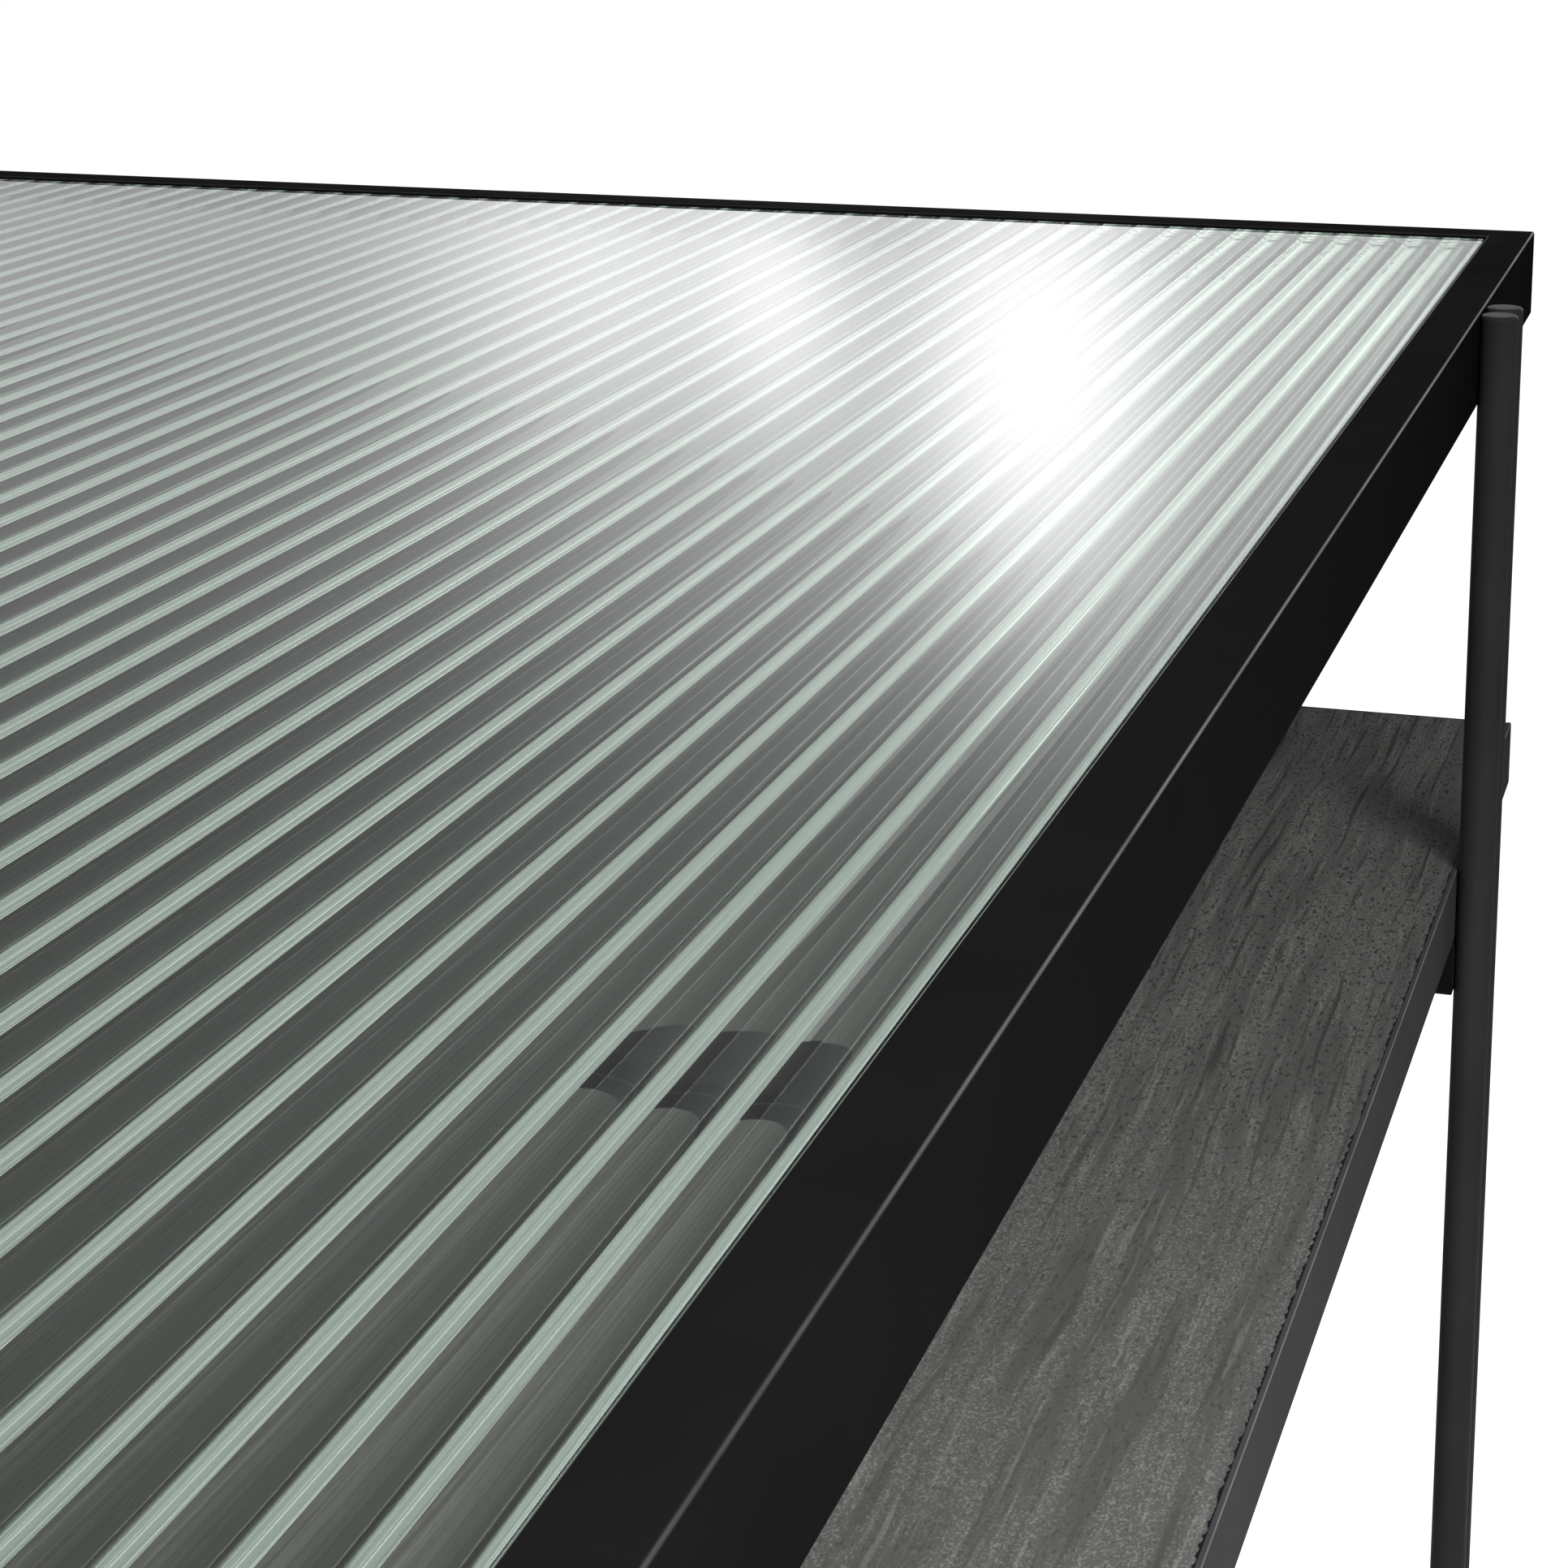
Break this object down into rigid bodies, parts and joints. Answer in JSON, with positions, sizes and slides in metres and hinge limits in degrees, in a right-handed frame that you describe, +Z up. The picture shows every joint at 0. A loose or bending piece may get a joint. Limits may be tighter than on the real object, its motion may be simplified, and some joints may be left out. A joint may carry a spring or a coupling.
{
  "type": "coffee table",
  "caption": "Low rectangular table with a ribbed glass top set in a slim tube frame, paired rod legs at each corner and a wood-grain lower shelf.",
  "frame": {"origin": "on the floor under the middle of the table", "axes": "+X along the length, the way the glass ribs run; +Y across; +Z up"},
  "size_m": [1.4, 0.6222, 0.45],
  "materials": {
    "black_powder_coat": "satin black powder coat",
    "ribbed_glass": "toughened glass, flat above and reeded below, faint green",
    "charcoal_wood": "charcoal wood-grain facing with pressed pores",
    "charcoal_edge_band": "matt edge band",
    "black_plastic": "moulded, fine texture",
    "black_silicone": "matt",
    "black_zinc": "black zinc plating"
  },
  "bodies": {
    "table": {"long_rail_front": "black_powder_coat", "long_rail_back": "black_powder_coat", "end_rail_left": "black_powder_coat", "end_rail_right": "black_powder_coat", "rail_vent_plugs": "black_plastic", "glass_support_tab_front_left": "black_powder_coat", "glass_support_pad_front_left": "black_silicone", "glass_support_tab_back_left": "black_powder_coat", "glass_support_pad_back_left": "black_silicone", "glass_support_tab_front_middle": "black_powder_coat", "glass_support_pad_front_middle": "black_silicone", "glass_support_tab_back_middle": "black_powder_coat", "glass_support_pad_back_middle": "black_silicone", "glass_support_tab_front_right": "black_powder_coat", "glass_support_pad_front_right": "black_silicone", "glass_support_tab_back_right": "black_powder_coat", "glass_support_pad_back_right": "black_silicone", "leg_rod_front_left_inner": "black_powder_coat", "foot_cap_front_left_inner": "black_plastic", "leg_rod_front_left_outer": "black_powder_coat", "foot_cap_front_left_outer": "black_plastic", "rail_weld_front_left": "black_powder_coat", "crossbar_weld_front_left": "black_powder_coat", "crossbar_insert_front_left": "black_plastic", "leg_rod_back_left_inner": "black_powder_coat", "foot_cap_back_left_inner": "black_plastic", "leg_rod_back_left_outer": "black_powder_coat", "foot_cap_back_left_outer": "black_plastic", "rail_weld_back_left": "black_powder_coat", "crossbar_weld_back_left": "black_powder_coat", "crossbar_insert_back_left": "black_plastic", "leg_rod_front_right_inner": "black_powder_coat", "foot_cap_front_right_inner": "black_plastic", "leg_rod_front_right_outer": "black_powder_coat", "foot_cap_front_right_outer": "black_plastic", "rail_weld_front_right": "black_powder_coat", "crossbar_weld_front_right": "black_powder_coat", "crossbar_insert_front_right": "black_plastic", "leg_rod_back_right_inner": "black_powder_coat", "foot_cap_back_right_inner": "black_plastic", "leg_rod_back_right_outer": "black_powder_coat", "foot_cap_back_right_outer": "black_plastic", "rail_weld_back_right": "black_powder_coat", "crossbar_weld_back_right": "black_powder_coat", "crossbar_insert_back_right": "black_plastic", "shelf_board": "charcoal_wood", "shelf_edge_band_front": "charcoal_edge_band", "shelf_edge_band_back": "charcoal_edge_band", "shelf_edge_band_left": "charcoal_edge_band", "shelf_edge_band_right": "charcoal_edge_band", "shelf_crossbar_left": "black_powder_coat", "shelf_crossbar_right": "black_powder_coat", "shelf_screws": "black_zinc"},
    "glass_top": {"glass_pane": "ribbed_glass"}
  },
  "joints": [
    {"name": "glass_lift", "type": "slide", "parent": "table", "child": "glass_top", "axis": [0, 0, 1], "range_m": [0, 0.06]}
  ]
}
